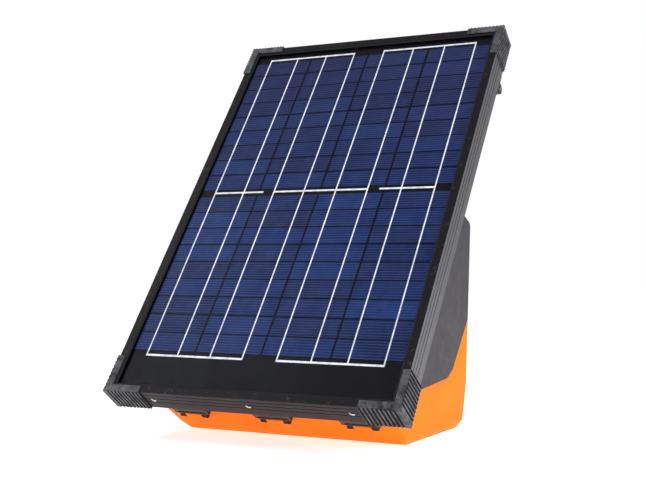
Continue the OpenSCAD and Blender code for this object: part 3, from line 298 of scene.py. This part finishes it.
def tempered_glass(name):
    """Low-iron glass with an anti-reflective coat: quite clear head on, with a satin sheen that
    grows as it is seen from a slant. The coat keeps what lies behind it dark."""
    material, tree, out = start_material(name)
    edge = add(tree, "ShaderNodeFresnel", {"IOR": 1.15})
    clear = add(tree, "ShaderNodeBsdfTransparent", {"Color": colour("#fafbfc")})
    smear = add(tree, "ShaderNodeTexNoise", {
        "Vector": add(tree, "ShaderNodeTexCoord").outputs["Object"], "Scale": per_metre(60),
        "Detail": 4.0})
    mirror = add(tree, "ShaderNodeBsdfGlossy", {
        "Color": (1, 1, 1, 1), "Roughness": spread(tree, smear.outputs["Fac"], 0.08, 0.14)})
    face = add(tree, "ShaderNodeNewGeometry")
    front = add(tree, "ShaderNodeMath", {0: 1.0, 1: face.outputs["Backfacing"]}, operation="SUBTRACT")
    slanted = add(tree, "ShaderNodeMapRange", {
        "Value": edge.outputs["Fac"], "From Min": 0.02, "From Max": 1.0})
    share = add(tree, "ShaderNodeMath", {
        0: slanted.outputs["Result"], 1: front.outputs[0]}, operation="MULTIPLY")
    shader = add(tree, "ShaderNodeMixShader", {
        "Fac": share.outputs[0], 1: clear.outputs["BSDF"], 2: mirror.outputs["BSDF"]})
    tree.links.new(shader.outputs["Shader"], out.inputs["Surface"])
    return material


# Polypropylene, moulded: bright orange with a soft gloss
ORANGE = moulded_plastic("orange_polypropylene", "#ff7c00", "#fb7300", 0.4, 1.2, 0.04, 0.04,
    "#ff9a30")
# ABS, moulded: dark warm grey, duller than the base
GREY = moulded_plastic("grey_abs", "#37353a", "#312f34", 0.5, 1.0, 0.06, 0.25)
# Glass-filled nylon, moulded: near black with a low gloss
NYLON = moulded_plastic("black_nylon", "#0b0b0d", "#070709", 0.35, 0.9, 0.05, 0.35)
# Aluminium extrusion, anodised black and worn satin
ANODISED = anodised_aluminium("black_anodised_aluminium", "#19171b", "#524e57")
# Painted sheen: the same black anodised extrusion in a lighter grey for the side rails' outer faces, standing for
# the bright studio reflected at a slant; the pale rubs are wear
ANODISED_PAINTED_SHEEN = anodised_aluminium("anodised_aluminium_painted_sheen", "#5e5e62", "#86868a")
# Bare bright wall of a drilled hole
DRILLED = drawn_metal("drilled_aluminium", "#ffffff", "#e6e6ea", 0.6, 2, 0.15)
# Drawing lubricant and dirt darken the bottom of every groove
# Painted shade: a near-black finish laid on the floors and walls of the grooves, where shade falls
GROOVE_PAINTED_SHADE = moulded_plastic("groove_painted_shade", "#101012", "#08080a", 0.7, 1.5, 0.03, 0.1)
# Mill-finish aluminium for the hidden bars and corner keys
MILL = drawn_metal("mill_aluminium", "#c9cacc", "#a9aaad", 0.32, 4)
# Zinc-plated steel fasteners
ZINC = drawn_metal("zinc_plated_steel", "#c4c6c8", "#8f9194", 0.3, 3)
# Turned brass studs and nuts
BRASS = drawn_metal("turned_brass", "#d9b45c", "#a98338", 0.25, 3)
# Solder-dipped copper ribbon, bright and slightly uneven
RIBBON = drawn_metal("tinned_copper", "#ffffff", "#d5d9ea", 0.6, 9, 0.1)
# Hard rubber corner guards
RUBBER = scuffed_rubber("scuffed_hard_rubber", "#1a1a1d", "#66676b")
# Soft rubber seals and grommets
SEAL = moulded_plastic("epdm_seal", "#17171a", "#0f0f11", 0.7, 0.8, 0.04, 0.25)
# Laminated rear film, smooth black
FILM = moulded_plastic("black_backsheet_film", "#0f0e14", "#0b0a10", 0.34, 3.0, 0, 0.14)
CELLS = silicon_cells("polycrystalline_silicon")
GLASS = tempered_glass("antireflective_solar_glass")
# Clear polycarbonate lamp window
WINDOW = tempered_glass("clear_polycarbonate")
# PVC lead jackets
PVC_BLACK = moulded_plastic("black_pvc_jacket", "#1a1a1c", "#121214", 0.45, 1.5, 0.03)
PVC_RED = moulded_plastic("red_pvc_jacket", "#b3201c", "#951511", 0.4, 1.5, 0.03)
# Battery case in flame-retardant ABS
CASE = moulded_plastic("battery_case_abs", "#3c4147", "#33373d", 0.5, 1.4, 0.06)
# Glass-epoxy board under green solder mask
BOARD = moulded_plastic("green_solder_mask", "#1f6b3c", "#185730", 0.3, 2.0, 0.03)
FERRITE = moulded_plastic("sintered_ferrite", "#4a4a4f", "#3d3d41", 0.75, 0.6, 0.08, 0.2)
COPPER = drawn_metal("enamelled_copper", "#b8663a", "#8a4422", 0.3, 1.2)
SLEEVE = moulded_plastic("capacitor_sleeve_pet", "#20396e", "#182c58", 0.25, 4.0, 0.02)
EPOXY = moulded_plastic("green_epoxy_lens", "#46c24f", "#2f9a3a", 0.2, 5.0, 0.01)
KNOB_RED = moulded_plastic("red_polypropylene", "#c8201c", "#ab1613", 0.35, 1.0, 0.05)
KNOB_GREEN = moulded_plastic("green_polypropylene", "#1c7a3a", "#14622d", 0.35, 1.0, 0.05)
# Powder-coated steel handle, light grey orange-peel skin
POWDER = moulded_plastic("grey_powder_coat", "#a5a6aa", "#96979b", 0.42, 1.6, 0.08)

SLOT_FINISH = {
    "orange_housing": ORANGE, "grey_housing": GREY, "seal_rubber": SEAL, "pin_steel": ZINC,
    "latch_plastic": NYLON, "black_frame": ANODISED, "side_frame": ANODISED_PAINTED_SHEEN,
    "bar_aluminium": MILL, "cap_rubber": RUBBER, "solar_glass": GLASS, "ribbon_metal": RIBBON,
    "cell_silicon": CELLS, "backsheet_black": FILM, "box_plastic": NYLON, "lead_black": PVC_BLACK,
    "lead_red": PVC_RED, "battery_case": CASE, "brass_metal": BRASS, "board_green": BOARD,
    "core_ferrite": FERRITE, "winding_copper": COPPER, "capacitor_sleeve": SLEEVE,
    "lamp_lens": EPOXY, "window_clear": WINDOW, "knob_black": NYLON, "knob_red": KNOB_RED,
    "knob_green": KNOB_GREEN, "handle_grey": POWDER}
NODE_SLOT = {part["node"]: part["material_slot"] for part in frame["record"]["subparts"]}
NODE_BODY = {node: body for body, nodes in frame["record"]["behaviour"]["bodies"].items()
    for node in nodes}

for node_name, part in NODES.items():
    part.data.materials.clear()
    part.data.materials.append(SLOT_FINISH[NODE_SLOT[node_name]])

# ---- painted shade in the grooves ----

CAP_NODES = ("cap_top_left", "cap_top_right", "cap_bottom_left", "cap_bottom_right")
RAIL_NODES = ("frame_top", "frame_bottom", "frame_left", "frame_right")
TO_PANEL = PANEL.inverted()


def panel_box(nodes):
    """Low and high corners of some nodes in the panel's own axes."""
    places = [TO_PANEL @ v.co for name in nodes for v in NODES[name].data.vertices]
    return [[pick(p[i] for p in places) for i in range(3)] for pick in (min, max)]


def paint_groove_shade(mesh, box, deepest_mm):
    """Gives the near-black painted groove shade to faces that lie just inside the sides of a box on the panel."""
    mesh.materials.append(GROOVE_PAINTED_SHADE)
    low, high = box
    for face in mesh.polygons:
        at = TO_PANEL @ face.center
        inside = min(at.x - low[0], high[0] - at.x, at.y - low[1], high[1] - at.y)
        if 0.3 * MM < inside < deepest_mm * MM:
            face.material_index = len(mesh.materials) - 1


CAP_BOX = panel_box(CAP_NODES)
RAIL_BOX = panel_box(RAIL_NODES)

# ---- new pieces ----

# Edges that turn by less than this are shaded smooth
SMOOTH_BELOW_DEG = 35
# Edges of a moulded part that turn by more than this are rounded
ROUND_ABOVE_DEG = 25


def new_piece(name, bm, body, slot):
    """Turns a bmesh into a piece that rides on a body and takes a slot's finish."""
    mesh = bpy.data.meshes.new(name)
    bm.to_mesh(mesh)
    bm.free()
    for face in mesh.polygons:
        face.use_smooth = True
    mesh.set_sharp_from_angle(angle=math.radians(SMOOTH_BELOW_DEG))
    mesh.materials.append(SLOT_FINISH[slot])
    piece = bpy.data.objects.new(name, mesh)
    bpy.context.scene.collection.objects.link(piece)
    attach(piece, body)
    return piece


def soften(node_name, radius_mm):
    """Copy of a moulded part whose sharp edges are rounded, which stands for the part."""
    bm = bmesh.new()
    bm.from_mesh(NODES[node_name].data)
    bmesh.ops.remove_doubles(bm, verts=bm.verts, dist=0.002 * MM)
    bmesh.ops.dissolve_limit(bm, angle_limit=math.radians(1), verts=bm.verts, edges=bm.edges)
    edges = [e for e in bm.edges
        if len(e.link_faces) == 2 and e.calc_face_angle(0) > math.radians(ROUND_ABOVE_DEG)]
    bmesh.ops.bevel(bm, geom=edges, offset=radius_mm * MM, offset_type="OFFSET",
        segments=3, profile=0.5, affect="EDGES", clamp_overlap=True, material=-1)
    piece = new_piece(node_name + "_soft", bm, NODE_BODY[node_name], NODE_SLOT[node_name])
    weighted = piece.modifiers.new("even_faces", "WEIGHTED_NORMAL")
    weighted.keep_sharp = True
    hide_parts(node_name)
    return piece


SOFT_EDGES_MM = {
    "base_shell": 1.6, "lid_shell": 1.4, "latch_left": 0.7, "latch_centre": 0.7,
    "latch_right": 0.7, "cap_top_left": 0.35, "cap_top_right": 0.35, "cap_bottom_left": 0.35,
    "cap_bottom_right": 0.35, "carry_handle": 0.8, "handle_brackets": 0.5, "power_knob": 0.8,
    "fence_knob": 0.7, "earth_knob": 0.7, "battery": 1.5, "electronics_cover": 1.0,
    "junction_box_lid": 0.6}
# Moulded parts give way to rounded copies; the caps' groove faces also get painted shade
for node_name, radius_mm in SOFT_EDGES_MM.items():
    softened = soften(node_name, radius_mm)
    if node_name in CAP_NODES:
        paint_groove_shade(softened.data, CAP_BOX, 1.1)
# Painted shade on the groove faces of the four rails
for node_name in RAIL_NODES:
    paint_groove_shade(NODES[node_name].data, RAIL_BOX, 0.9)

# The side rails' front lips keep the plain black of the other rails, without the painted sheen of the side faces
for node_name in ("frame_left", "frame_right"):
    side_rail = NODES[node_name].data
    side_rail.materials.append(ANODISED)
    for face in side_rail.polygons:
        if (TO_PANEL.to_3x3() @ face.normal).z > 0.7:
            face.material_index = len(side_rail.materials) - 1

# The drain holes are drilled after anodising, so their walls show bare metal
bottom_rail = NODES["frame_bottom"].data
bottom_rail.materials.append(DRILLED)
for name in ("frame_hole_left", "frame_hole_centre", "frame_hole_right"):
    hole = MOUNTS[name]
    along = Vector(hole["axis"]).normalized()
    for face in bottom_rail.polygons:
        away = face.center - Vector(hole["pos_m"])
        off_axis = (away - along * away.dot(along)).length
        if off_axis < hole["dims"]["r_mm"] * 1.05 * MM and abs(face.normal.dot(along)) < 0.3:
            face.material_index = len(bottom_rail.materials) - 1


def box_faces(bm, place, low_mm, high_mm):
    """Adds a closed box between two corners given in place's own axes."""
    size = [h - l for l, h in zip(low_mm, high_mm)]
    middle = [(h + l) / 2 * MM for l, h in zip(low_mm, high_mm)]
    scale = Matrix.Diagonal((*[c * MM for c in size], 1))
    bmesh.ops.create_cube(bm, size=1, matrix=place @ Matrix.Translation(middle) @ scale)


def round_edges(bm, radius_mm):
    """Rounds every edge of a bmesh made of boxes."""
    bmesh.ops.bevel(bm, geom=list(bm.edges), offset=radius_mm * MM, offset_type="OFFSET",
        segments=2, profile=0.5, affect="EDGES", clamp_overlap=True, material=-1)


def turned(name, profile_mm, place, body, slot):
    """Piece turned about place's Z axis from a closed outline of (radius, height) points."""
    bm = bmesh.new()
    outline = [bm.verts.new((radius * MM, 0, height * MM)) for radius, height in profile_mm]
    edges = [bm.edges.new((outline[i - 1], outline[i])) for i in range(len(outline))]
    bmesh.ops.spin(bm, geom=outline + edges, cent=(0, 0, 0), axis=(0, 0, 1),
        angle=2 * math.pi, steps=48, use_merge=True)
    bmesh.ops.transform(bm, matrix=place, verts=bm.verts)
    bmesh.ops.recalc_face_normals(bm, faces=bm.faces)
    return new_piece(name, bm, body, slot)


def glass_sealant():
    """Black sealant in the angle between the frame's lip and the glass, all the way round."""
    lip_edge = 13.5
    glass_top = 3.8
    profile = [(lip_edge, glass_top), (lip_edge, glass_top - 1.3), (lip_edge + 0.9, glass_top - 1.1),
        (lip_edge + 2.2, glass_top - 0.5), (lip_edge + 3.2, glass_top)]
    low, high = CAP_BOX
    bm = bmesh.new()
    loops = []
    for inwards, depth in profile:
        x0, x1 = low[0] + inwards * MM, high[0] - inwards * MM
        y0, y1 = low[1] + inwards * MM, high[1] - inwards * MM
        z = high[2] - depth * MM
        loops.append([bm.verts.new(PANEL @ Vector(corner))
            for corner in ((x0, y0, z), (x1, y0, z), (x1, y1, z), (x0, y1, z))])
    for i in range(len(loops)):
        for k in range(4):
            bm.faces.new((loops[i - 1][k - 1], loops[i - 1][k], loops[i][k], loops[i][k - 1]))
    bmesh.ops.recalc_face_normals(bm, faces=bm.faces)
    new_piece("glass_sealant", bm, "lid", "seal_rubber")


def knob_marks():
    """Raised marks round the power knob, one for each position, and a white line on the knob."""
    wall = on_rear("power_knob_turn") @ Matrix.Translation((0, 0, -1 * MM))
    bm = bmesh.new()
    for i in range(4):
        turn = Matrix.Rotation(math.radians(45 * i), 4, "Z")
        wide = 0.5 + 0.35 * i
        box_faces(bm, wall @ turn, (-wide, -20.6, -0.3), (wide, -17.8, 0.5))
    round_edges(bm, 0.2)
    new_piece("knob_marks", bm, "base", "orange_housing")
    bm = bmesh.new()
    knob = on_rear("power_knob_turn")
    box_faces(bm, knob, (-0.7, -14.4, 15.5), (0.7, -4, 16.15))
    new_piece("knob_pointer", bm, "power_knob", "handle_grey")


def grip_sleeve():
    """Ribbed soft sleeve over the handle's grip."""
    fold = JOINTS["handle_fold"]
    up = PANEL.to_3x3() @ Vector((0, 1, 0))
    bar_up = 45
    centre = Vector(fold["pos_m"]) + up * bar_up * MM
    place = Matrix.Translation(centre) @ Matrix.Rotation(math.pi / 2, 4, "Y")
    half, pitch = 60, 4
    profile = [(6.05, -half), (7.2, -half)]
    for i in range(2 * half // pitch):
        start = pitch * i - half
        profile += [(7.6, start + 0.6), (7.6, start + 3), (7.1, start + 3.3), (7.1, start + 3.8)]
    profile += [(7.1, half), (6.05, half)]
    turned("grip_sleeve", profile, place, "carry_handle", "seal_rubber")


glass_sealant()
knob_marks()
grip_sleeve()

# ---- studio ----


def studio_floor():
    """Pale floor lit from below like a light table, so it falls to a soft grey only in the shade."""
    bm = bmesh.new()
    bmesh.ops.create_grid(bm, x_segments=1, y_segments=1, size=12)
    mesh = bpy.data.meshes.new("floor")
    bm.to_mesh(mesh)
    bm.free()
    material, tree, out = start_material("pale_floor")
    pale = add(tree, "ShaderNodeBsdfDiffuse", {"Color": colour("#f4f4f4")})
    glow = add(tree, "ShaderNodeEmission", {"Color": (1, 1, 1, 1), "Strength": 0.62})
    both = add(tree, "ShaderNodeAddShader", {0: pale.outputs["BSDF"], 1: glow.outputs["Emission"]})
    tree.links.new(both.outputs["Shader"], out.inputs["Surface"])
    mesh.materials.append(material)
    floor = bpy.data.objects.new("floor", mesh)
    bpy.context.scene.collection.objects.link(floor)


def studio_world():
    """White surroundings where they are seen, and a softer fill on the object."""
    world = bpy.data.worlds.new("studio")
    bpy.context.scene.world = world
    world.use_nodes = True
    tree = world.node_tree
    tree.nodes.clear()
    ray = add(tree, "ShaderNodeLightPath")
    seen = add(tree, "ShaderNodeMath", {
        0: ray.outputs["Is Camera Ray"], 1: ray.outputs["Is Transmission Ray"]}, operation="MAXIMUM")
    fill = add(tree, "ShaderNodeBackground", {"Color": (1, 1, 1, 1), "Strength": 0.55})
    white = add(tree, "ShaderNodeBackground", {"Color": (1, 1, 1, 1), "Strength": 1.0})
    mix = add(tree, "ShaderNodeMixShader", {
        "Fac": seen.outputs[0], 1: fill.outputs["Background"], 2: white.outputs["Background"]})
    out = add(tree, "ShaderNodeOutputWorld")
    tree.links.new(mix.outputs["Shader"], out.inputs["Surface"])


def softbox(name, place, aim, size, power):
    """Square area light at place, turned to aim."""
    lamp = bpy.data.lights.new(name, "AREA")
    lamp.shape = "SQUARE"
    lamp.size = size
    lamp.energy = power
    light = bpy.data.objects.new(name, lamp)
    light.location = place
    light.rotation_euler = (Vector(aim) - Vector(place)).to_track_quat("-Z", "Y").to_euler()
    bpy.context.scene.collection.objects.link(light)


def front_camera():
    """Camera in front, 26.75 degrees round to the right, looking very slightly up."""
    place = (0.758, -1.5143, 0.2368)
    azimuth = math.radians(26.75)
    elevation = math.radians(-1.53)
    roll = math.radians(0.4)
    right = Vector((math.cos(azimuth), math.sin(azimuth), 0))
    back = Vector((math.sin(azimuth) * math.cos(elevation),
        -math.cos(azimuth) * math.cos(elevation), math.sin(elevation)))
    up = back.cross(right)
    across = right * math.cos(roll) + up * math.sin(roll)
    upright = up * math.cos(roll) - right * math.sin(roll)
    camera = bpy.data.cameras.new("camera")
    camera.sensor_width = 36
    camera.lens = 62.0
    view = bpy.data.objects.new("camera", camera)
    view.matrix_world = Matrix((
        (across.x, upright.x, back.x, place[0]), (across.y, upright.y, back.y, place[1]),
        (across.z, upright.z, back.z, place[2]), (0, 0, 0, 1)))
    bpy.context.scene.collection.objects.link(view)
    bpy.context.scene.camera = view


studio_floor()
studio_world()
OBJECT_MIDDLE = (0, 0, 0.3)
softbox("right_softbox", (2.6, -0.2, 1.0), OBJECT_MIDDLE, 1.4, 44)
softbox("low_front_softbox", (-0.3, -2.6, 0.35), OBJECT_MIDDLE, 1.2, 34)
softbox("rear_softbox", (-0.8, 2.6, 1.6), OBJECT_MIDDLE, 1.6, 40)
softbox("glass_sheen_softbox", (-1.35, -0.8, 1.7), (-0.2, -0.15, 0.15), 0.95, 5)
front_camera()
bpy.context.scene.view_settings.view_transform = "Standard"
